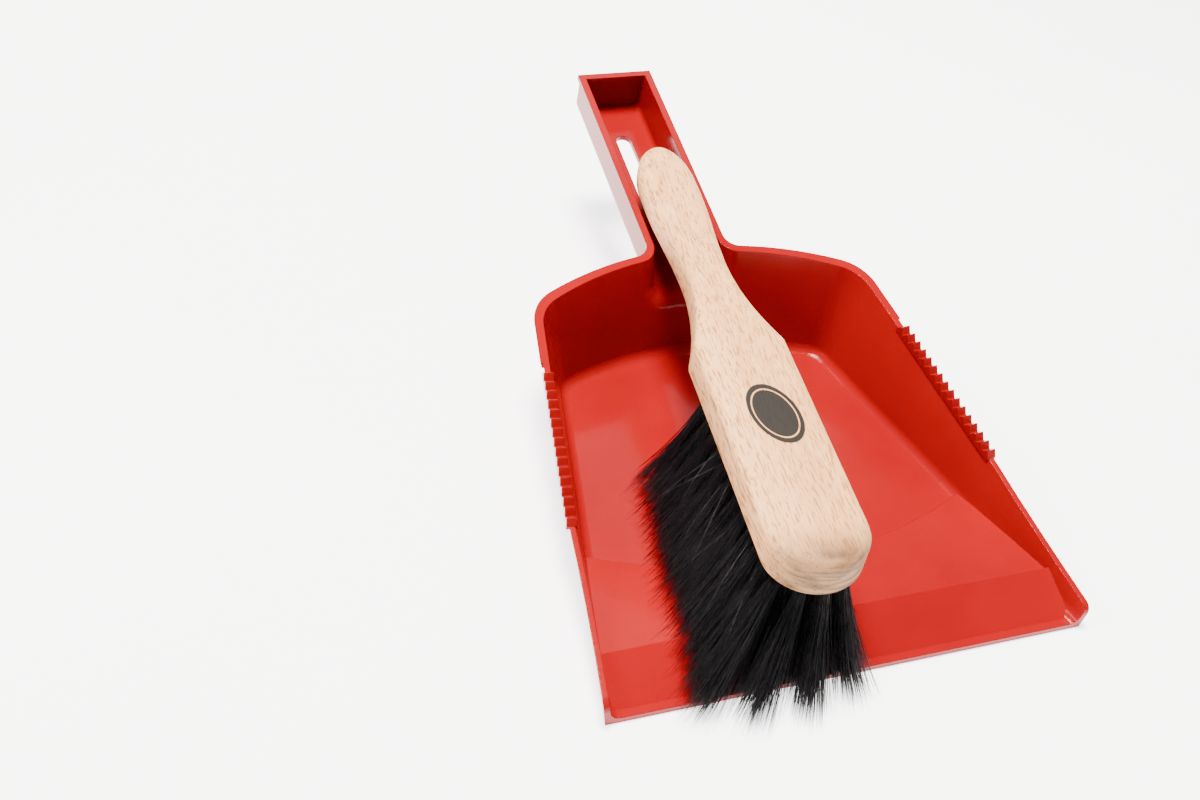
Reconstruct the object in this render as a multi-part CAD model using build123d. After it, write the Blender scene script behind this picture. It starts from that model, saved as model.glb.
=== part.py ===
"""Hand brush lying in its dust pan: one moulded pan, one wooden brush block and its set-in tufts.

Frame: +X to the pan's right, +Y from the sweeping lip to the handle, +Z up. The origin is on the
pan's middle plane, under the front edge of the lip, on the surface that the pan stands on.
"""
from build123d import *
from math import atan, cos, sin
import os

# ---------------------------------------------------------------- driving dimensions (mm)
# Pan tray. Each size is given at the foot (z = 0) and again at the height TRAY_TOP.
WALL = 2.2                    # moulded wall
FLOOR = 2.4                   # moulded floor
TRAY_TOP = 80.0               # height that the flaring walls are drawn to before the rim is cut
LIP_HALF = (93.0, 105.8)      # half width at the lip
BEND = ((79.3, 70.0), (104.2, 70.0))          # where each side wall bends in a little
CORNER = ((61.1, 164.6), (82.8, 169.3))       # rear corner before rounding
REAR_Y = (177.5, 194.0)       # middle of the bowed rear wall
CORNER_R = (12.0, 26.3)       # rear corner radius
FOOT_R = 4.5                  # inside radius between floor and walls
MOUTH_REACH = 12.0            # how far the tray's hollow is drawn past the lip
CUT_SIZE = 900.0              # side of the boxes that cut a drawing off, larger than the pan

# Rim and terraced floor
RIM_FRONT = 10.4              # rim height above the lip
RIM_SLOPE = 0.203             # rise of the rim per millimetre towards the handle
LIP_EDGE = 1.0                # thickness of the sweeping lip
LIP_LAND = 2.0                # flat underside of the lip
CREST_Y = 21.1                # top of the ramp
CREST_Z = 10.6
STEP = 1.5                    # drop behind each crest
STEP_RUN = 1.0
TERRACE_Y = 51.0              # second crest on the middle plane
TERRACE_BOW = 0.003           # how fast it bows back towards the sides, per millimetre
TERRACE_Z = 3.9
FRONT_ROUND = 4.0             # rounding at the top of each wall's front end
WEDGE_DEEP = 8.0              # how far below the pan the floor's cutters reach
WEDGE_HALF = 110.0            # and how far to each side
HOLLOW_LAP = 0.5              # the underside's hollow starts this far below the ground
HOLLOW_LEAD = 3.2             # length over which it comes up behind the lip's flat underside

# Rim bead and combs
BEAD_OUT = 0.9                # how far the bead stands out of the wall
BEAD_DEEP = 2.4
BEAD_START = 139.0            # the bead runs from here round the back and the handle
COMB_FROM = (86.2, 67.3)      # rim points between which each comb stands
COMB_TO = (76.7, 134.6)
COMB_TEETH = 16
TOOTH_HIGH = 2.7
COMB_WIDE = 4.0
COMB_BASE = 1.6

# Handle: an open channel that rises with the rim
HANDLE_DEEP = 20.0
HANDLE_HALF = (15.8, 16.6)    # outside half width at the bottom and at the rim
HANDLE_END = 295.2            # rim position of the closed end
HANDLE_ROOT = 168.0           # rim position where the channel starts, inside the tray
HANDLE_EDGE_R = 4.6
HANDLE_SPARE = 45.0           # drawn above the rim and cut off with it
THROAT_REACH = (8.0, 3.0, 9.0)                # where its edges lie: before and behind the wall, aside
THROAT_R = 9.0                # inside radius where the channel opens into the tray
SLOT_WIDE = 7.0               # hanging slot in the channel's floor
SLOT_LONG = 46.0
SLOT_END = 273.0              # rim position of the slot's rear end

# Brush block, drawn flat with its top face at height 0 and its front end at the origin
BRUSH_AT = (-19.4, 3.5, 58.0)
BRUSH_YAW = -5.1              # turn about Z
BRUSH_PITCH = 2.4             # the handle end is the higher
BLOCK_THICK = 17.5
HEAD_HALF = 18.2
HEAD_NOSE = 17.0              # length of the rounded front end
HEAD_LONG = 109.5             # from the front end to the shoulders
NECK = ((118.5, 15.4), (135.5, 10.4), (155.5, 9.0), (178.5, 10.9))
HANDLE_WIDEST = (204.5, 12.0)
TAIL_START = (221.5, 11.6)
TAIL_HALF = 7.0
BLOCK_LONG = 238.5
SHOULDER_R = 6.0
TAIL_R = 5.5
BLOCK_EDGE_R = 3.0
QUARTER_PULL = 0.5523         # handle length that makes a Bezier follow a quarter ellipse

# Tufts: two inner rows and two outer rows, set in drilled holes and fanning out
TUFT_PITCH = 7.7
INNER_ROW = (3.9, 9.1, 13)    # distance from the middle, first tuft, how many
OUTER_ROW = (11.5, 13.4, 12)
HOLE_R = 2.1
HOLE_DEEP = 9.0
TUFT_ROOT_R = 2.0
TUFT_ROOT_DEEP = 8.0
TIP_SPREAD = (2.6, 1.75)      # sideways spread of the tips at the front and at the rear
TIP_LEAN = (14.0, 10.5)       # and how far they lean to the left there
TIP_STRETCH = 1.234           # lengthways spread of the tips
TIP_SHIFT = -29.0             # and their lean towards the lip
TIP_HALF = (4.0, 2.4)         # half size of a splayed end: along, and across for a spread of 1
SWEEP_AHEAD = 60.0            # ground looked at in front of the lip
LIP_MARGIN = 3.0              # tufts keep this far ahead of the lip unless they clear it
TIP_CLEAR = 0.8               # gap between the tips and whatever is under them
FAN_LEVEL = 0.8               # level that the full fan is drawn to; most tufts end above it
LEVEL_TRIES = 8               # each one refines the level at which a tuft ends
STAPLE = (3.2, 1.4, 0.4)      # flat wire that holds a tuft down in its hole


# ---------------------------------------------------------------- shared geometry
RIM_TILT = atan(RIM_SLOPE)
RIM_PLANE = Plane(origin=(0, 0, RIM_FRONT), x_dir=(1, 0, 0), z_dir=(0, -sin(RIM_TILT), cos(RIM_TILT)))


def rim_point(x, y):
    """A point on the rim's plane above (x, y)."""
    return Vector(x, y, RIM_FRONT + RIM_SLOPE * y)


def between(pair, height):
    """A tray size at some height, from its value at the foot and at TRAY_TOP."""
    return pair[0] + (pair[1] - pair[0]) * height / TRAY_TOP


def tray_outline(height, inset, reach):
    """The tray's closed outline at one height, moved in by inset and drawn reach past the lip."""
    lip = between(LIP_HALF, height) - inset
    bend_x = between((BEND[0][0], BEND[1][0]), height) - inset
    bend_y = BEND[0][1]
    corner_x = between((CORNER[0][0], CORNER[1][0]), height) - inset
    corner_y = between((CORNER[0][1], CORNER[1][1]), height) - inset
    rear = between(REAR_Y, height) - inset
    flare = (lip - bend_x) / bend_y
    front = lip + flare * reach
    radius = between(CORNER_R, height) - inset
    sides = [
        Line((-front, -reach), (front, -reach)),
        Line((front, -reach), (bend_x, bend_y)),
        Line((bend_x, bend_y), (corner_x, corner_y)),
        ThreePointArc((corner_x, corner_y), (0, rear), (-corner_x, corner_y)),
        Line((-corner_x, corner_y), (-bend_x, bend_y)),
        Line((-bend_x, bend_y), (-front, -reach)),
    ]
    face = make_face(sides)
    rear_corners = face.vertices().filter_by(lambda v: abs(v.Y - corner_y) < 0.01)
    return Pos(0, 0, height) * fillet(rear_corners, radius)


def tray_body(low, inset, reach=0.0):
    """The solid that flares from height low up to TRAY_TOP."""
    return loft([tray_outline(low, inset, reach), tray_outline(TRAY_TOP, inset, reach)], ruled=True)


def channel_body(inset, floor_up, start, end, edge_radius):
    """The handle's solid (or its hollow): a tapering section drawn along the rim's slope."""
    low_half = HANDLE_HALF[0] - inset
    high_half = HANDLE_HALF[1] - inset
    taper = (high_half - low_half) / HANDLE_DEEP
    top_half = high_half + taper * HANDLE_SPARE
    at = rim_point(0, start)
    along = Vector(0, cos(RIM_TILT), sin(RIM_TILT))
    section_plane = Plane(origin=at, x_dir=(1, 0, 0), z_dir=-along)
    low = -HANDLE_DEEP + floor_up
    corners = [(-top_half, HANDLE_SPARE), (top_half, HANDLE_SPARE), (low_half, low), (-low_half, low)]
    flat = make_face(Polyline(*corners, close=True))
    flat = fillet(flat.vertices().sort_by(Axis.Y)[:2], edge_radius)
    length = (end - start) / cos(RIM_TILT)
    below_top = Pos(0, 0, TRAY_TOP - CUT_SIZE / 2) * Box(CUT_SIZE, CUT_SIZE, CUT_SIZE)
    return extrude(section_plane * flat, amount=-length) & below_top


def throat_edges(body, half):
    """The chain of edges where the channel meets the tray's rear wall."""
    before, behind, aside = THROAT_REACH

    def is_throat(edge):
        middle = edge.center()
        near_wall = REAR_Y[0] - before < middle.Y < REAR_Y[1] + behind
        between_ends = FLOOR + FOOT_R < middle.Z < TRAY_TOP - WALL
        return near_wall and abs(middle.X) < half + aside and between_ends
    return body.edges().filter_by(is_throat)


def grown_shell(grow):
    """Outside of tray and handle in one, grown sideways by grow."""
    tray = tray_body(0, -grow)
    handle = channel_body(-grow, -grow, HANDLE_ROOT, HANDLE_END + grow, HANDLE_EDGE_R)
    return fillet(throat_edges(tray + handle, HANDLE_HALF[1] + grow), THROAT_R - WALL)


# ---------------------------------------------------------------- pan
def floor_line(across, drop):
    """Points of the terraced floor's surface at one distance from the middle, lowered by drop."""
    terrace = TERRACE_Y + TERRACE_BOW * across ** 2
    return [
        (CREST_Y, CREST_Z - drop),
        (CREST_Y + STEP_RUN, CREST_Z - STEP - drop),
        (terrace, TERRACE_Z - drop),
        (terrace + STEP_RUN, FLOOR - drop),
    ]


def floor_wedge(drop, lip_at, lip_z):
    """Solid between the terraced floor's surface and a level well under the pan."""
    sections = []
    for share in (-1, -0.5, 0, 0.5, 1):
        across = share * WEDGE_HALF
        line = floor_line(across, drop)
        points = [(lip_at, -WEDGE_DEEP), (lip_at, lip_z)] + line + [(line[-1][0], -WEDGE_DEEP)]
        plane = Plane(origin=(across, 0, 0), x_dir=(0, 1, 0), z_dir=(1, 0, 0))
        sections.append(plane * make_face(Polyline(*points, close=True)))
    return loft(sections)


def comb(side):
    """One row of teeth along a side rim, with the strip that it stands on."""
    start = rim_point(side * COMB_FROM[0], COMB_FROM[1])
    stop = rim_point(side * COMB_TO[0], COMB_TO[1])
    run = stop - start
    pitch = run.length / COMB_TEETH
    outline = [(0, -COMB_BASE), (0, 0)]
    for tooth in range(COMB_TEETH):
        outline.append(((tooth + 0.5) * pitch, TOOTH_HIGH))
        outline.append(((tooth + 1) * pitch, 0))
    outline.append((run.length, -COMB_BASE))
    plane = Plane(origin=start, x_dir=run, z_dir=run.cross(Vector(0, 0, 1)))
    return extrude(plane * make_face(Polyline(*outline, close=True)), amount=COMB_WIDE / 2, both=True)


def hanging_slot():
    """Cutter for the slot in the channel's floor."""
    middle = rim_point(0, SLOT_END) - Vector(0, cos(RIM_TILT), sin(RIM_TILT)) * SLOT_LONG / 2
    plane = Plane(origin=middle, x_dir=(0, cos(RIM_TILT), sin(RIM_TILT)), z_dir=RIM_PLANE.z_dir)
    return extrude(plane * SlotOverall(SLOT_LONG, SLOT_WIDE), amount=-(HANDLE_DEEP + 5))


def make_pan():
    """The whole pan is one moulding."""
    outside = grown_shell(0)
    hollow_tray = tray_body(FLOOR, WALL, MOUTH_REACH)
    foot = hollow_tray.edges().filter_by(lambda e: e.center().Z < FLOOR + 0.01 and e.center().Y > 0)
    hollow_tray = fillet(foot, FOOT_R)
    hollow_handle = channel_body(WALL, FLOOR, HANDLE_ROOT, HANDLE_END - WALL, HANDLE_EDGE_R - WALL)
    hollow = fillet(throat_edges(hollow_tray + hollow_handle, HANDLE_HALF[1]), THROAT_R)
    hollow -= floor_wedge(0, 0, LIP_EDGE)
    rear_half = Pos(0, BEAD_START + CUT_SIZE / 2, 0) * Box(CUT_SIZE, CUT_SIZE, CUT_SIZE)
    collar = split(grown_shell(BEAD_OUT) & rear_half, bisect_by=RIM_PLANE, keep=Keep.BOTTOM)
    collar = split(collar, bisect_by=RIM_PLANE.offset(-BEAD_DEEP), keep=Keep.TOP)
    body = split(outside + collar - hollow, bisect_by=RIM_PLANE, keep=Keep.BOTTOM)
    at_front = body.edges().filter_by(lambda e: abs(e.center().Y) < 0.1)
    front_tops = at_front.filter_by(lambda e: e.center().Z > RIM_FRONT - 0.1)
    body = fillet(front_tops, FRONT_ROUND)
    body += [comb(side) for side in (-1, 1)]
    body -= floor_wedge(FLOOR, LIP_LAND + HOLLOW_LEAD, -HOLLOW_LAP)
    return body - hanging_slot()


# ---------------------------------------------------------------- brush
BRUSH = Location(BRUSH_AT) * Rot(Z=BRUSH_YAW) * Rot(X=BRUSH_PITCH)


def block_outline():
    """The block seen from above: a rounded nose, straight head, waist and round-ended handle."""
    right = [(HEAD_HALF, HEAD_LONG)] + [(half, along) for along, half in NECK]
    right += [(half, along) for along, half in (HANDLE_WIDEST, TAIL_START)]
    left = [(-x, y) for x, y in reversed(right)]
    pull_x, pull_y = HEAD_HALF * QUARTER_PULL, HEAD_NOSE * (1 - QUARTER_PULL)
    nose_left = Bezier((-HEAD_HALF, HEAD_NOSE), (-HEAD_HALF, pull_y), (-pull_x, 0), (0, 0))
    nose_right = Bezier((0, 0), (pull_x, 0), (HEAD_HALF, pull_y), (HEAD_HALF, HEAD_NOSE))
    sides = [
        nose_left,
        nose_right,
        Line((HEAD_HALF, HEAD_NOSE), right[0]),
        Spline(*right),
        Polyline(right[-1], (TAIL_HALF, BLOCK_LONG), (-TAIL_HALF, BLOCK_LONG), left[0]),
        Spline(*left),
        Line(left[-1], (-HEAD_HALF, HEAD_NOSE)),
    ]
    face = make_face(sides)
    shoulders = face.vertices().filter_by(lambda v: abs(v.Y - HEAD_LONG) < 0.01)
    face = fillet(shoulders, SHOULDER_R)
    tail = face.vertices().filter_by(lambda v: v.Y > TAIL_START[0] - 1)
    return fillet(tail, TAIL_R)


def tuft_places():
    """Where every tuft is set in the block's underside, as (across, along)."""
    places = []
    for across, first, count in (INNER_ROW, OUTER_ROW):
        for number in range(count):
            places.append((-across, first + number * TUFT_PITCH))
            places.append((across, first + number * TUFT_PITCH))
    return sorted(places, key=lambda place: (place[1], place[0]))


def make_block():
    """Wooden block with a blind hole for each tuft."""
    block = extrude(block_outline(), amount=-BLOCK_THICK)
    block = fillet(block.faces().filter_by(Axis.Z).edges(), BLOCK_EDGE_R)
    hole = Cylinder(HOLE_R, HOLE_DEEP, align=(Align.CENTER, Align.CENTER, Align.MIN))
    block -= [Pos(x, y, -BLOCK_THICK) * hole for x, y in tuft_places()]
    return BRUSH * block


def surface_under(x, y):
    """Highest level of the pan's floor, or of the ground before the lip, under a tuft's tips."""
    line = [(-SWEEP_AHEAD, 0.0), (-LIP_MARGIN - 0.1, 0.0), (-LIP_MARGIN, LIP_EDGE)]
    line += floor_line(abs(x), 0) + [(HANDLE_END, FLOOR)]
    low, high = y - TIP_HALF[0] - 1, y + TIP_HALF[0] + 1
    levels = [z for at, z in line if low <= at <= high]
    for (start_y, start_z), (stop_y, stop_z) in zip(line, line[1:]):
        for at in (low, high):
            if start_y <= at <= stop_y:
                levels.append(start_z + (stop_z - start_z) * (at - start_y) / (stop_y - start_y))
    return max(levels)


def make_tuft(across, along):
    """A tuft: a round root in its hole and a fan of bristles that ends just above the floor.

    All tufts are cut from one fan drawn to FAN_LEVEL, so that no two of them cross.
    """
    root = Pos(across, along, -BLOCK_THICK) * Cylinder(
        TUFT_ROOT_R, TUFT_ROOT_DEEP, align=(Align.CENTER, Align.CENTER, Align.MIN))
    mouth = BRUSH * Pos(across, along, -BLOCK_THICK)
    to_rear = along / HEAD_LONG
    spread = TIP_SPREAD[0] + (TIP_SPREAD[1] - TIP_SPREAD[0]) * to_rear
    lean = TIP_LEAN[0] + (TIP_LEAN[1] - TIP_LEAN[0]) * to_rear
    tip = Pos(across * spread - lean, along * TIP_STRETCH + TIP_SHIFT, -BLOCK_THICK)
    end = (BRUSH * tip).position
    start = mouth.position
    full_drop = start.Z - FAN_LEVEL
    level = FAN_LEVEL
    for _ in range(LEVEL_TRIES):
        part = (start.Z - level) / full_drop
        x = start.X + (end.X - start.X) * part
        y = start.Y + (end.Y - start.Y) * part
        level = max(level, surface_under(x, y) + TIP_CLEAR)
    half_along = TUFT_ROOT_R + (TIP_HALF[0] - TUFT_ROOT_R) * part
    half_across = TUFT_ROOT_R + (TIP_HALF[1] * spread - TUFT_ROOT_R) * part
    splay = Rot(Z=BRUSH_YAW) * Ellipse(half_across, half_along)
    tip_end = Pos(x, y, start.Z - full_drop * part) * splay
    skirt = loft([mouth * Circle(TUFT_ROOT_R), tip_end], ruled=True)
    return BRUSH * root + skirt


def make_staples():
    """The flat wires that pin the folded tufts down, one at the bottom of each hole."""
    level = -BLOCK_THICK + (TUFT_ROOT_DEEP + HOLE_DEEP) / 2
    return Compound(children=[BRUSH * Pos(x, y, level) * Box(*STAPLE) for x, y in tuft_places()])


# ---------------------------------------------------------------- output
def main():
    """Write one STEP file for each piece."""
    pieces = {"pan": make_pan(), "brush_block": make_block(), "tuft_staples": make_staples()}
    for number, (across, along) in enumerate(tuft_places(), start=1):
        pieces[f"tuft_{number:02d}"] = make_tuft(across, along)
    os.makedirs("parts", exist_ok=True)
    for name, piece in pieces.items():
        export_step(piece, f"parts/{name}.step")


if __name__ == "__main__":
    main()
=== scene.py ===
# %% [markdown]
# # A dust pan and its hand brush
# The pan is one glossy red moulding, and the brush is a beech block with tufts of black filament.
# The brush lies in the pan, its handle in the pan's channel. The imported model gives every place and
# size, so the first step is to load it.

# %% Load the frame
from math import radians

import bmesh
import bpy
import numpy as np
from mathutils import Matrix, Vector


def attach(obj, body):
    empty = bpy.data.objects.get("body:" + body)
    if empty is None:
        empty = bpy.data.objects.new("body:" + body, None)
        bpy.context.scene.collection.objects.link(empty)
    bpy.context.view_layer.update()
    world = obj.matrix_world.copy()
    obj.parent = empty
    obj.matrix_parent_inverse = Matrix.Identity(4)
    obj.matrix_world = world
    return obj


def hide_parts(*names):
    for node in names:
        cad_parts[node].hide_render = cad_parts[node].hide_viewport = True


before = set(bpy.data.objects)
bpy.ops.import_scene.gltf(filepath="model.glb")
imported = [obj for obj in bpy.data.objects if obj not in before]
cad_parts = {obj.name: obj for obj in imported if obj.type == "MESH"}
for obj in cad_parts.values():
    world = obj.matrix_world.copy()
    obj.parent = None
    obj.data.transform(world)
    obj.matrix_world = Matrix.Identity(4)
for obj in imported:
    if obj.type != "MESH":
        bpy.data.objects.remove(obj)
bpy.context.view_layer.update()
MM = 0.001
SEED = 7

# %% [markdown]
# ## Camera
# The view is a three-quarter one from the front left, fairly close, so the lip looks much wider than
# the handle. A camera that is tilted about its own axis needs three turns: heading, dip and roll.
# Building its axes from the heading and the dip, and then rolling them, keeps the three apart.

# %% Camera
CAMERA_AT = np.array([-220.8, -252.4, 392.4]) * MM
HEADING, DIP, ROLL = radians(23.4), radians(41.5), radians(8.21)
LENS = 42.6


def camera_axes(heading, dip, roll):
    """Forward from heading and dip, right as forward x up, then right and up turned by the roll."""
    forward = np.array([np.sin(heading) * np.cos(dip), np.cos(heading) * np.cos(dip), -np.sin(dip)])
    right = np.cross(forward, [0.0, 0.0, 1.0])
    right /= np.linalg.norm(right)
    up = np.cross(right, forward)
    rolled_right = np.cos(roll) * right + np.sin(roll) * up
    rolled_up = np.cos(roll) * up - np.sin(roll) * right
    return rolled_right, rolled_up, forward


def add_camera():
    """A camera whose columns are right, up and backwards."""
    right, up, forward = camera_axes(HEADING, DIP, ROLL)
    data = bpy.data.cameras.new("camera")
    data.lens = LENS
    data.sensor_width = 36.0
    data.clip_start = 0.01
    camera = bpy.data.objects.new("camera", data)
    turn = Matrix(np.column_stack([right, up, -forward]).tolist()).to_4x4()
    camera.matrix_world = Matrix.Translation(Vector(CAMERA_AT)) @ turn
    bpy.context.scene.collection.objects.link(camera)
    bpy.context.scene.camera = camera
    return camera


camera = add_camera()
print("camera at", [round(value, 3) for value in camera.location])

# %% [markdown]
# ## Light and floor
# One strong, slightly warm panel overhead lights what faces up and leaves the steep walls darker,
# which is what shows the pan's depth. A weak panel behind the handle lays a soft sheen on the tray's
# floor, and one on the left lights the handle's side. The surround only keeps the shadows open.

# %% Light and floor


def aim(from_point, to_point):
    """The turn that points a light's -Z axis from one point to another."""
    return (Vector(to_point) - Vector(from_point)).to_track_quat("-Z", "Y").to_matrix().to_4x4()


def add_panel(name, place, target, size, watts, tint=(1.0, 1.0, 1.0)):
    """A rectangular soft light at a place, aimed at a target."""
    data = bpy.data.lights.new(name, "AREA")
    data.shape = "RECTANGLE"
    data.size, data.size_y = size
    data.energy = watts
    data.color = tint
    light = bpy.data.objects.new(name, data)
    light.matrix_world = Matrix.Translation(Vector(place)) @ aim(place, target)
    bpy.context.scene.collection.objects.link(light)
    return light


def add_surround(strength):
    """A plain bright world."""
    world = bpy.data.worlds.new("surround")
    world.use_nodes = True
    background = world.node_tree.nodes["Background"]
    background.inputs["Color"].default_value = (1.0, 1.0, 1.0, 1.0)
    background.inputs["Strength"].default_value = strength
    bpy.context.scene.world = world


PAN_MIDDLE = (0.0, 0.10, 0.01)
add_surround(0.3)
add_panel("panel_above", (-0.10, 0.30, 1.5), PAN_MIDDLE, (0.5, 0.5), 110, (1.0, 0.95, 0.89))
add_panel("panel_behind", (0.25, 1.15, 1.10), PAN_MIDDLE, (1.0, 0.4), 3)
add_panel("panel_left", (-1.0, 0.10, 0.8), PAN_MIDDLE, (0.5, 0.4), 12)


def make_mesh_object(name, vertices, faces):
    """A mesh object at the origin from arrays of points and faces."""
    mesh = bpy.data.meshes.new(name)
    mesh.from_pydata(vertices.tolist(), [], faces)
    mesh.update()
    piece = bpy.data.objects.new(name, mesh)
    bpy.context.scene.collection.objects.link(piece)
    return piece


def smooth(piece):
    """Shade every face smoothly."""
    piece.data.polygons.foreach_set("use_smooth", np.ones(len(piece.data.polygons), bool))
    piece.data.update()


FLOOR_HALF = 6.0
floor_corners = np.array([[-1, -1, 0], [1, -1, 0], [1, 1, 0], [-1, 1, 0]]) * FLOOR_HALF
floor = make_mesh_object("stage_floor", floor_corners, [(0, 1, 2, 3)])

# %% [markdown]
# ## Materials
# A helper adds nodes and links them, so that each finish below reads as a short recipe. All the
# patterns read Object coordinates, in metres, because every piece's object sits at the origin.

# %% Node helpers


class Recipe:
    """A material under construction: nodes are added with their settings and links in one call."""

    def __init__(self, name):
        self.material = bpy.data.materials.new(name)
        self.material.use_nodes = True
        self.tree = self.material.node_tree
        self.shader = self.tree.nodes["Principled BSDF"]
        self.place = self.add("ShaderNodeTexCoord").outputs["Object"]

    def add(self, kind, settings=None, **inputs):
        """A node of one kind; each input is a socket to link or a value to set."""
        node = self.tree.nodes.new(kind)
        for key, value in (settings or {}).items():
            setattr(node, key, value)
        for key, value in inputs.items():
            self.feed(node.inputs[key.replace("_", " ")], value)
        return node

    def feed(self, socket, value):
        """Link a socket, or set its own value."""
        if isinstance(value, bpy.types.NodeSocket):
            self.tree.links.new(value, socket)
        else:
            socket.default_value = value

    def moved(self, turn=(0, 0, 0), shift=(0, 0, 0), stretch=(1, 1, 1)):
        """Object coordinates after stretch, turn and shift."""
        node = self.add("ShaderNodeMapping", Vector=self.place)
        node.inputs["Location"].default_value = shift
        node.inputs["Rotation"].default_value = turn
        node.inputs["Scale"].default_value = stretch
        return node.outputs["Vector"]

    def noise(self, vector, scale, detail=4.0, roughness=0.5):
        """Fractal noise at some scale, as a number."""
        node = self.add("ShaderNodeTexNoise", Vector=vector, Scale=scale, Detail=detail,
                        Roughness=roughness)
        return node.outputs["Fac"]

    def sum_up(self, operation, first, second):
        """One step of arithmetic."""
        node = self.add("ShaderNodeMath", {"operation": operation})
        self.feed(node.inputs[0], first)
        self.feed(node.inputs[1], second)
        return node.outputs[0]

    def ramp(self, factor, *stops):
        """Colour ramp through (place, colour) stops."""
        node = self.add("ShaderNodeValToRGB", Fac=factor)
        elements = node.color_ramp.elements
        elements[0].position, elements[0].color = stops[0][0], (*stops[0][1], 1)
        elements[1].position, elements[1].color = stops[-1][0], (*stops[-1][1], 1)
        for place, colour in stops[1:-1]:
            elements.new(place).color = (*colour, 1)
        return node.outputs["Color"]

    def span(self, value, low, high, out_low, out_high):
        """A number carried from one range to another, clamped."""
        node = self.add("ShaderNodeMapRange", Value=value)
        node.inputs["From Min"].default_value = low
        node.inputs["From Max"].default_value = high
        node.inputs["To Min"].default_value = out_low
        node.inputs["To Max"].default_value = out_high
        return node.outputs["Result"]

    def mix(self, factor, first, second, blend="MIX"):
        """Two colours mixed by a factor."""
        node = self.add("ShaderNodeMix", {"data_type": "RGBA", "blend_type": blend})
        for index, value in ((0, factor), (6, first), (7, second)):
            if isinstance(value, tuple):
                value = (*value, 1)
            self.feed(node.inputs[index], value)
        return node.outputs[2]

    def bump(self, height, strength, distance, normal=None):
        """Raise the surface by a height pattern."""
        node = self.add("ShaderNodeBump", Height=height, Strength=strength, Distance=distance)
        if normal is not None:
            self.feed(node.inputs["Normal"], normal)
        return node.outputs["Normal"]

    def finish(self, **inputs):
        """Set the shader's sockets and hand the material over."""
        for key, value in inputs.items():
            self.feed(self.shader.inputs[key.replace("_", " ")], value)
        return self.material


def wear(piece, material):
    """Give a piece one material."""
    piece.data.materials.clear()
    piece.data.materials.append(material)


# %% [markdown]
# ### The plain floor
# A matt white with a barely visible mottling. It gives off light of its own, as a lit table does, which
# keeps it white between the shadows.

# %% Floor finish


def floor_finish():
    """Off-white, with a very slow change of value."""
    recipe = Recipe("pale_floor")
    mottle = recipe.noise(recipe.place, 3.0)
    tint = recipe.ramp(mottle, (0.3, (0.90, 0.90, 0.90)), (0.7, (0.94, 0.94, 0.94)))
    return recipe.finish(Base_Color=tint, Roughness=0.8, Emission_Color=tint, Emission_Strength=3.0)


wear(floor, floor_finish())

# %% [markdown]
# ### Moulded polypropylene
# The pan's plastic is coloured right through, a little translucent and glossy. A mould leaves three
# things: a faint cloudiness of the colour, slight waviness that makes the highlights wander,
# and fine scuffs that only show in the gloss. Each is a noise of its own size.

# %% Red plastic
EDGE_SOFT = 0.5 * MM


def red_plastic():
    """Deep red, with clouding, mould waviness and fine scuffs."""
    recipe = Recipe("pan_red_plastic")
    cloud = recipe.noise(recipe.place, 14.0, 3.0)
    colour = recipe.ramp(cloud, (0.35, (0.205, 0.0014, 0.0030)), (0.65, (0.245, 0.0024, 0.0042)))
    scuffs = recipe.noise(recipe.moved(turn=(0, 0, 0.5), stretch=(1, 9, 3)), 260.0, 2.0, 0.7)
    gloss = recipe.span(scuffs, 0.45, 0.80, 0.15, 0.30)
    waves = recipe.noise(recipe.place, 22.0, 1.0)
    grain = recipe.noise(recipe.place, 1500.0, 2.0)
    soft_edge = recipe.add("ShaderNodeBevel", Radius=EDGE_SOFT).outputs["Normal"]
    surface = recipe.bump(grain, 0.05, 0.00005, recipe.bump(waves, 0.12, 0.0012, soft_edge))
    recipe.shader.inputs["Subsurface Radius"].default_value = (0.6, 0.1, 0.05)
    return recipe.finish(
        Base_Color=colour, Roughness=gloss, Normal=surface, IOR=1.49, Specular_IOR_Level=0.18,
        Specular_Tint=(1.0, 0.42, 0.38, 1.0), Subsurface_Weight=0.06, Subsurface_Scale=0.003,
        Coat_Weight=0.08, Coat_Roughness=0.05, Coat_Normal=soft_edge)


pan_plastic = red_plastic()
wear(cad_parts["pan"], pan_plastic)
print("pan coloured")

# %% [markdown]
# ## The brush's own frame
# The brush lies slightly turned and tipped in the pan. It is easier to make it flat, with its nose at
# zero and its top face at height zero, and to carry the finished points over with one matrix.

# %% Brush frame
BRUSH_AT = (-19.4 * MM, 3.5 * MM, 58.0 * MM)
BRUSH_YAW, BRUSH_PITCH = radians(-5.1), radians(2.4)
BLOCK_THICK = 17.5 * MM
BLOCK_LONG = 238.5 * MM
brush_frame = (Matrix.Translation(BRUSH_AT) @ Matrix.Rotation(BRUSH_YAW, 4, "Z")
               @ Matrix.Rotation(BRUSH_PITCH, 4, "X"))
BRUSH_TURN = np.array(brush_frame.to_3x3())
BRUSH_ORIGIN = np.array(brush_frame.translation)


def to_row(points):
    """Points of the flat brush carried to where the brush lies."""
    return points @ BRUSH_TURN.T + BRUSH_ORIGIN
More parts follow.
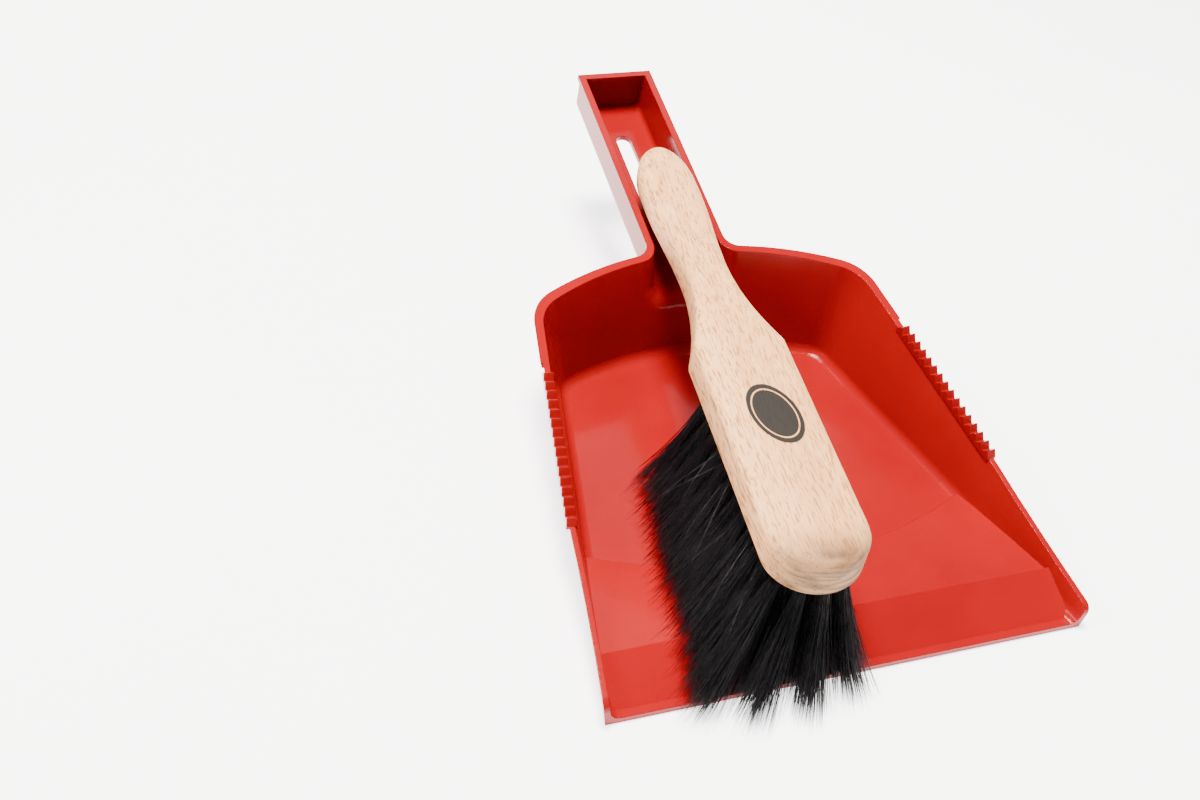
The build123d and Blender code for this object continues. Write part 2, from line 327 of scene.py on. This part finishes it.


# %% [markdown]
# ### Beech
# Beech is a pale warm tan. Its mark is a field of short fine flecks that run with the grain,
# over soft bands. All of them are noises stretched along the block's length, which the Mapping node
# first turns to. The end grain on the nose is the same bands cut across, and darker, and the nose is
# also painted much darker as painted shade, since it faces away from the light overhead.
# A few thin grey lines wander across it, as they do in real beech.
# The oval stamp on the head is a plain dark one with a thin ring in it, without any lettering.

# %% Beech wood
STAMP_AT = (1.1 * MM, 69.7 * MM)
STAMP_HALF = (9.3 * MM, 15.2 * MM)
STAMP_TURN = radians(9)
STAMP_RING = 0.66
MARKS = ((-4.0 * MM, 222.0 * MM), (1.0 * MM, 172.0 * MM), (3.0 * MM, 166.0 * MM), (-6.0 * MM, 5.0 * MM))
MARK_HALF, MARK_THIN, MARK_SWING = 5.0 * MM, 0.55 * MM, 16.0 * MM


def beech():
    """Pale wood: bands, flecks and pores along the grain, darker end grain with painted shade on the nose,
    and one plain oval stamp.
    """
    recipe = Recipe("beech_wood")
    undo = recipe.add("ShaderNodeMapping", {"vector_type": "TEXTURE"}, Vector=recipe.place)
    undo.inputs["Location"].default_value = BRUSH_AT
    undo.inputs["Rotation"].default_value = (BRUSH_PITCH, 0, BRUSH_YAW)
    flat = undo.outputs["Vector"]

    def along(stretch):
        node = recipe.add("ShaderNodeMapping", Vector=flat)
        node.inputs["Scale"].default_value = stretch
        return node.outputs["Vector"]

    bands = recipe.noise(along((60, 4, 45)), 1.0, 3.0)
    base = recipe.ramp(bands, (0.30, (0.66, 0.30, 0.115)), (0.52, (0.77, 0.375, 0.155)),
                       (0.72, (0.84, 0.44, 0.195)))
    flecks = recipe.noise(along((1500, 170, 900)), 1.0, 2.0, 0.6)
    fleck_mask = recipe.span(flecks, 0.52, 0.62, 0.0, 0.85)
    flecked = recipe.mix(fleck_mask, base, (0.34, 0.135, 0.05))
    rays = recipe.noise(along((420, 60, 300)), 1.0, 2.0)
    ray_mask = recipe.span(rays, 0.55, 0.72, 0.0, 0.45)
    wood = recipe.mix(ray_mask, flecked, (0.88, 0.54, 0.29))
    parts = recipe.add("ShaderNodeSeparateXYZ", Vector=flat)
    # Painted shade: the front end, top face near the nose included, goes far darker than end grain would.
    nose = recipe.span(parts.outputs["Y"], 0.004, 0.018, 0.9, 0.0)
    end_rings = recipe.noise(along((90, 60, 620)), 1.0, 3.0)
    end_grain_and_shade_tone = recipe.ramp(end_rings, (0.38, (0.06, 0.034, 0.016)), (0.62, (0.30, 0.155, 0.07)))
    wood_dark_nose = recipe.mix(nose, wood, end_grain_and_shade_tone)
    wander = recipe.noise(along((420, 420, 420)), 1.0, 1.0)
    for across_at, along_at in MARKS:
        level_off = recipe.sum_up("SUBTRACT", parts.outputs["Y"], along_at)
        swing = recipe.sum_up("MULTIPLY", recipe.sum_up("SUBTRACT", wander, 0.5), MARK_SWING)
        from_line = recipe.sum_up("ABSOLUTE", recipe.sum_up("ADD", level_off, swing), 0.0)
        aside = recipe.sum_up("SUBTRACT", parts.outputs["X"], across_at)
        from_middle = recipe.sum_up("ABSOLUTE", aside, 0.0)
        thin = recipe.span(from_line, 0.0, MARK_THIN, 0.75, 0.0)
        short = recipe.span(from_middle, 0.8 * MARK_HALF, MARK_HALF, 1.0, 0.0)
        wood_dark_nose = recipe.mix(recipe.sum_up("MULTIPLY", thin, short), wood_dark_nose, (0.06, 0.05, 0.045))

    stamp_node = recipe.add("ShaderNodeMapping", {"vector_type": "TEXTURE"}, Vector=flat)
    stamp_node.inputs["Location"].default_value = (*STAMP_AT, 0)
    stamp_node.inputs["Rotation"].default_value = (0, 0, STAMP_TURN)
    stamp_node.inputs["Scale"].default_value = (*STAMP_HALF, 1)
    local = recipe.add("ShaderNodeSeparateXYZ", Vector=stamp_node.outputs["Vector"])
    square_x = recipe.sum_up("POWER", local.outputs["X"], 2.0)
    square_y = recipe.sum_up("POWER", local.outputs["Y"], 2.0)
    reach = recipe.sum_up("ADD", square_x, square_y)
    feather = recipe.sum_up("MULTIPLY", recipe.noise(along((900, 500, 900)), 1.0, 2.0), 0.06)
    inside = recipe.span(recipe.sum_up("ADD", reach, feather), 1.0, 1.05, 0.992, 0.0)
    on_top = recipe.span(parts.outputs["Z"], -0.004, -0.003, 0.0, 1.0)
    from_ring = recipe.sum_up("ABSOLUTE", recipe.sum_up("SUBTRACT", reach, STAMP_RING), 0.0)
    ring_gap = recipe.span(from_ring, 0.03, 0.05, 0.1, 1.0)
    stamp_mask = recipe.sum_up("MULTIPLY", recipe.sum_up("MULTIPLY", inside, on_top), ring_gap)
    inked = recipe.mix(stamp_mask, wood_dark_nose, (0.010, 0.010, 0.009))
    gloss = recipe.span(flecks, 0.3, 0.7, 0.48, 0.62)
    surface = recipe.bump(flecks, 0.12, 0.0002, recipe.bump(bands, 0.08, 0.0004))
    return recipe.finish(
        Base_Color=inked, Roughness=gloss, Normal=surface, Specular_IOR_Level=0.15)


wood = beech()

# %% [markdown]
# ### The block's shape
# Seen from above, the block is a rounded nose, a straight head, shoulders, a waist and a swelling
# handle. Extruding that outline would give knife edges, so the surface is worked out on a
# grid: one parameter runs round the outline, and the other from the middle of the top face over the
# rounded edge, down the side, and in again underneath. The edges round off more at the handle.

# %% Block surface
HEAD_HALF, NOSE_LONG, HEAD_END = 18.2 * MM, 17.0 * MM, 109.5 * MM
WAIST_AT, WAIST_HALF = 153.5 * MM, 9.0 * MM
SWELL_AT, SWELL_HALF = 205.5 * MM, 12.0 * MM
TAIL_FROM = 213.5 * MM
EDGE_HEAD, EDGE_HANDLE = 3.4 * MM, 6.4 * MM
SPINE_FRONT, SPINE_REAR = 12 * MM, 9 * MM
CROWN = 0.25 * MM
TAIL_POWER = 2.3


def ease(value):
    """0 to 1 with level ends: 3t^2 - 2t^3."""
    value = np.clip(value, 0, 1)
    return value * value * (3 - 2 * value)


def half_width(along):
    """Half width at each distance from the nose: ellipse, straight, parabola, swell, oval."""
    nose = HEAD_HALF * np.sqrt(np.clip(1 - ((NOSE_LONG - along) / NOSE_LONG) ** 2, 0, 1))
    fall = np.clip((along - HEAD_END) / (WAIST_AT - HEAD_END), 0, 1)
    shoulder = WAIST_HALF + (HEAD_HALF - WAIST_HALF) * (1 - fall) ** 2
    past_waist = (along - WAIST_AT) / (SWELL_AT - WAIST_AT)
    swell = WAIST_HALF + (SWELL_HALF - WAIST_HALF) * ease(past_waist)
    into_tail = np.clip((along - TAIL_FROM) / (BLOCK_LONG - TAIL_FROM), 0, 1)
    tail = SWELL_HALF * np.sqrt(1 - into_tail ** TAIL_POWER)
    choices = [along < NOSE_LONG, along < HEAD_END, along < WAIST_AT, along < TAIL_FROM]
    return np.select(choices, [nose, np.full_like(along, HEAD_HALF), shoulder, swell], tail)


def block_grid(stations=220, edge_steps=7):
    """Points on a grid: rows from the top's middle line down to the bottom's, columns round the outline.

    Each outline point moves in along its normal by the edge radius times 1 - sin, while its height
    drops by the radius times 1 - cos, which is a quarter circle. The middle line closes both faces.
    """
    along = BLOCK_LONG * (1 - np.cos(np.pi * np.arange(stations + 1) / stations)) / 2
    right = np.column_stack([half_width(along), along])
    left = right[-2:0:-1] * [-1, 1]
    outline = np.vstack([right, left])
    tangent = np.roll(outline, -1, axis=0) - np.roll(outline, 1, axis=0)
    tangent /= np.linalg.norm(tangent, axis=1, keepdims=True)
    inward = np.column_stack([-tangent[:, 1], tangent[:, 0]])
    soften = ease((outline[:, 1] - HEAD_END) / (SWELL_AT - HEAD_END))
    radius = EDGE_HEAD + (EDGE_HANDLE - EDGE_HEAD) * soften
    turn = np.linspace(0, np.pi / 2, edge_steps)
    rows = []
    spine_y = np.clip(outline[:, 1], SPINE_FRONT, BLOCK_LONG - SPINE_REAR)
    for share in (0.0, 0.5):
        rim = outline + inward * radius[:, None]
        middle = np.column_stack([np.zeros(len(outline)), spine_y])
        flat = middle + (rim - middle) * share
        rows.append(np.column_stack([flat, np.full(len(flat), -CROWN * share ** 2)]))
    for angle in turn:
        moved = outline + inward * (radius * (1 - np.sin(angle)))[:, None]
        rows.append(np.column_stack([moved, -CROWN - radius * (1 - np.cos(angle))]))
    upper = np.array(rows)
    lower = upper[::-1] * [1, 1, -1] - [0, 0, BLOCK_THICK]
    return np.concatenate([upper, lower])


def grid_faces(rows, columns):
    """Quads of a grid that closes on itself along its columns."""
    row, column = np.meshgrid(np.arange(rows - 1), np.arange(columns), indexing="ij")
    beside = (column + 1) % columns
    quads = np.stack([row * columns + column, (row + 1) * columns + column,
                      (row + 1) * columns + beside, row * columns + beside], axis=-1)
    return quads.reshape(-1, 4)


def close_up(piece, gap=1e-6):
    """Merge doubled points, drop flat faces and turn every face outwards."""
    work = bmesh.new()
    work.from_mesh(piece.data)
    bmesh.ops.remove_doubles(work, verts=work.verts, dist=gap)
    bmesh.ops.dissolve_degenerate(work, edges=work.edges, dist=gap / 10)
    bmesh.ops.recalc_face_normals(work, faces=work.faces)
    work.to_mesh(piece.data)
    work.free()
    piece.data.update()


grid = block_grid()
block_faces = grid_faces(*grid.shape[:2]).tolist()
block = make_mesh_object("beech_block", to_row(grid.reshape(-1, 3)), block_faces)
close_up(block)
smooth(block)
wear(block, wood)
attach(block, "brush")
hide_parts("brush_block")
print("block:", len(block.data.polygons), "faces")

# %% [markdown]
# ## Tufts
# A hand brush has tufts of straight filament folded over a wire in each hole. In use they fan out, so
# the outer ones lean well away from the block, and here they bend where they meet the pan's floor.
# Hair particles would be quick, but the pieces have to be real meshes. Each filament is a
# slim three-sided spindle along a quadratic curve, and all of a tuft's filaments are made at once.

# %% The floor that the tips stand on
LIP_Z, CREST_Y, CREST_Z = 1.0 * MM, 21.1 * MM, 10.6 * MM
STEP_Z, TERRACE_Y, TERRACE_BOW, TERRACE_Z = 9.1 * MM, 51.0 * MM, 3.0, 3.9 * MM
FLOOR_Z = 2.4 * MM


def floor_height(x, y):
    """Height under each point: ground, ramp, sloping terrace or flat floor."""
    terrace = TERRACE_Y + TERRACE_BOW * x ** 2
    ramp = LIP_Z + (CREST_Z - LIP_Z) * y / CREST_Y
    slope = STEP_Z + (TERRACE_Z - STEP_Z) * (y - CREST_Y) / (terrace - CREST_Y)
    return np.select([y < 0, y < CREST_Y, y < terrace], [np.zeros_like(y), ramp, slope], FLOOR_Z)


# %% Filaments
TUFT_PITCH = 7.7 * MM
ROWS = ((3.9 * MM, 9.1 * MM, 13), (11.5 * MM, 13.4 * MM, 12))
FILAMENTS = 230
FILAMENT_R = 0.15 * MM
TIP_STRETCH, TIP_SHIFT = 1.234, -29.0 * MM
SPREAD_FRONT, SPREAD_REAR = 2.6, 1.75
LEAN_FRONT, LEAN_REAR = 14.0 * MM, 10.5 * MM
TIP_SCATTER = (3.6 * MM, 3.4 * MM)
ROOT_RADIUS, ROOT_DEEP = 1.7 * MM, 1 * MM
SPLAY = (2.6, 1.6)
TIP_LOWEST, TIP_RAGGED = 0.5, 1.6
BEND_OUT, BEND_DOWN = 0.26, 0.52
TIP_THINNER = 0.45
SIDES, RINGS = 3, 7


def tuft_places():
    """Where each tuft is set, in the order of the model's tuft numbers."""
    places = [(side * across, first + number * TUFT_PITCH)
              for across, first, count in ROWS for number in range(count) for side in (-1, 1)]
    return sorted(places, key=lambda place: (round(place[1], 6), place[0]))


def spindles(starts, bends, ends, radius):
    """Slim closed tubes along (1-t)^2 a + 2t(1-t) b + t^2 c, each with a point at both ends."""
    count = len(starts)
    steps = np.linspace(0, 1, RINGS + 2)[:, None, None]
    line = (1 - steps) ** 2 * starts + 2 * steps * (1 - steps) * bends + steps ** 2 * ends
    heading = np.gradient(line, axis=0)
    heading /= np.linalg.norm(heading, axis=2, keepdims=True)
    side = np.cross(heading, [0.0, 1.0, 0.0])
    side /= np.linalg.norm(side, axis=2, keepdims=True)
    other = np.cross(heading, side)
    angle = 2 * np.pi * np.arange(SIDES) / SIDES
    taper = (1.0 - TIP_THINNER * steps[1:-1, 0, 0] ** 2)[:, None, None, None]
    ring = (line[1:-1, :, None] + radius * taper * (np.cos(angle)[:, None] * side[1:-1, :, None]
            + np.sin(angle)[:, None] * other[1:-1, :, None]))
    per_tube = RINGS * SIDES + 2
    rings = ring.transpose(1, 0, 2, 3).reshape(count, -1, 3)
    ends_of_line = line[[0, -1]].transpose(1, 0, 2)
    points = np.concatenate([ends_of_line[:, :1], rings, ends_of_line[:, 1:]], axis=1)
    ring_at, corner = np.meshgrid(np.arange(RINGS - 1), np.arange(SIDES), indexing="ij")
    beside = (corner + 1) % SIDES
    here, beyond = ring_at * SIDES, (ring_at + 1) * SIDES
    quads = np.stack([here + corner, here + beside, beyond + beside, beyond + corner], -1)
    quads = 1 + quads.reshape(-1, 4)
    last = 1 + (RINGS - 1) * SIDES
    corners = np.arange(SIDES)
    first_cap = np.stack([np.zeros(SIDES, int), 1 + (corners + 1) % SIDES, 1 + corners], -1)
    tip = np.full(SIDES, per_tube - 1)
    last_cap = np.stack([tip, last + corners, last + (corners + 1) % SIDES], -1)
    offsets = (np.arange(count) * per_tube)[:, None, None]
    faces = (quads + offsets).reshape(-1, 4).tolist()
    for cap in (first_cap, last_cap):
        faces += (cap + offsets).reshape(-1, 3).tolist()
    return points.reshape(-1, 3), faces


def tuft_curves(across, along, draw):
    """Starts, bends and ends of one tuft's filaments, scattered by a seeded draw."""
    angle = draw.uniform(0, 2 * np.pi, FILAMENTS)
    out = ROOT_RADIUS * np.sqrt(draw.uniform(0, 1, FILAMENTS))
    offset = np.column_stack([out * np.cos(angle), out * np.sin(angle)])
    root_level = np.full(FILAMENTS, -BLOCK_THICK + ROOT_DEEP)
    start = np.column_stack([across + offset[:, 0], along + offset[:, 1], root_level])
    to_rear = along / HEAD_END
    spread = SPREAD_FRONT + (SPREAD_REAR - SPREAD_FRONT) * to_rear
    lean = LEAN_FRONT + (LEAN_REAR - LEAN_FRONT) * to_rear
    scatter = draw.normal(0, 1, (FILAMENTS, 2)) * TIP_SCATTER
    tip_x = across * spread - lean + offset[:, 0] * SPLAY[0] + scatter[:, 0]
    tip_y = along * TIP_STRETCH + TIP_SHIFT + offset[:, 1] * SPLAY[1] + scatter[:, 1]
    flat_tip = np.column_stack([tip_x, tip_y, np.full(FILAMENTS, -BLOCK_THICK)])
    starts, tips = to_row(start), to_row(flat_tip)
    under = floor_height(tips[:, 0], tips[:, 1])
    tips[:, 2] = under + (TIP_LOWEST + draw.exponential(TIP_RAGGED, FILAMENTS)) * MM
    drop = starts[:, 2] - tips[:, 2]
    outwards = (tips - starts) * [BEND_OUT, BEND_OUT, 0]
    bends = starts + outwards - [0, 0, 1] * (drop * BEND_DOWN)[:, None]
    return starts, bends, tips


# %% Black filament


def black_filament():
    """Nearly black, glossy along the strands, a little greyer here and there."""
    recipe = Recipe("black_filament")
    strands = recipe.noise(recipe.moved(stretch=(1, 1, 0.12)), 900.0, 2.0)
    colour = recipe.ramp(strands, (0.35, (0.0012, 0.0011, 0.0013)), (0.75, (0.010, 0.009, 0.011)))
    gloss = recipe.span(strands, 0.3, 0.7, 0.28, 0.45)
    return recipe.finish(Base_Color=colour, Roughness=gloss, Specular_IOR_Level=0.25)


bristle = black_filament()
random_draw = np.random.default_rng(SEED)
face_total = 0
for number, (across, along) in enumerate(tuft_places(), start=1):
    points, faces = spindles(*tuft_curves(across, along, random_draw), FILAMENT_R)
    tuft = make_mesh_object(f"filaments_{number:02d}", points, faces)
    smooth(tuft)
    wear(tuft, bristle)
    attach(tuft, "brush")
    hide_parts(f"tuft_{number:02d}")
    face_total += len(faces)
print("tufts made,", face_total, "faces in all")

# %% [markdown]
# ### Stray hairs
# A few hairs, greyer than the rest, stick out of the mass on the left. They are the same spindles,
# only thinner and straighter, so the same function makes them.

# %% Stray hairs
STRAYS = 9


def grey_hair():
    """Dark grey, a little lighter in places."""
    recipe = Recipe("grey_hair")
    patches = recipe.noise(recipe.place, 300.0)
    tone = recipe.ramp(patches, (0.3, (0.012, 0.012, 0.014)), (0.7, (0.06, 0.06, 0.065)))
    return recipe.finish(Base_Color=tone, Roughness=0.35)


def stray_curves(draw):
    """Hairs that start under the block's left edge and reach out and down, each a bit differently."""
    root = draw.uniform([-15 * MM, 20 * MM, -22 * MM], [-12 * MM, 75 * MM, -19 * MM], (STRAYS, 3))
    reach = draw.uniform([-26 * MM, -30 * MM, -26 * MM], [-15 * MM, 4 * MM, -12 * MM], (STRAYS, 3))
    sag = draw.uniform([-2 * MM, -2 * MM, 0.5 * MM], [0.0, 2 * MM, 3 * MM], (STRAYS, 3))
    return to_row(root), to_row(root + reach / 2 + sag), to_row(root + reach)


points, faces = spindles(*stray_curves(random_draw), 0.6 * FILAMENT_R)
strays = make_mesh_object("stray_hairs", points, faces)
smooth(strays)
wear(strays, grey_hair())
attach(strays, "brush")

# %% [markdown]
# ### Staples
# The flat wires sit at the bottom of the holes, out of sight, so a plain bright steel will do.

# %% Staple wire


def staple_wire():
    """Bright flat wire with a slight drawn grain."""
    recipe = Recipe("staple_wire")
    drawn = recipe.noise(recipe.moved(stretch=(40, 1, 1)), 900.0)
    tint = recipe.ramp(drawn, (0.3, (0.55, 0.55, 0.54)), (0.7, (0.68, 0.68, 0.66)))
    return recipe.finish(Base_Color=tint, Metallic=1.0, Roughness=recipe.span(drawn, 0.3, 0.7, 0.22, 0.38))


wear(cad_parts["tuft_staples"], staple_wire())
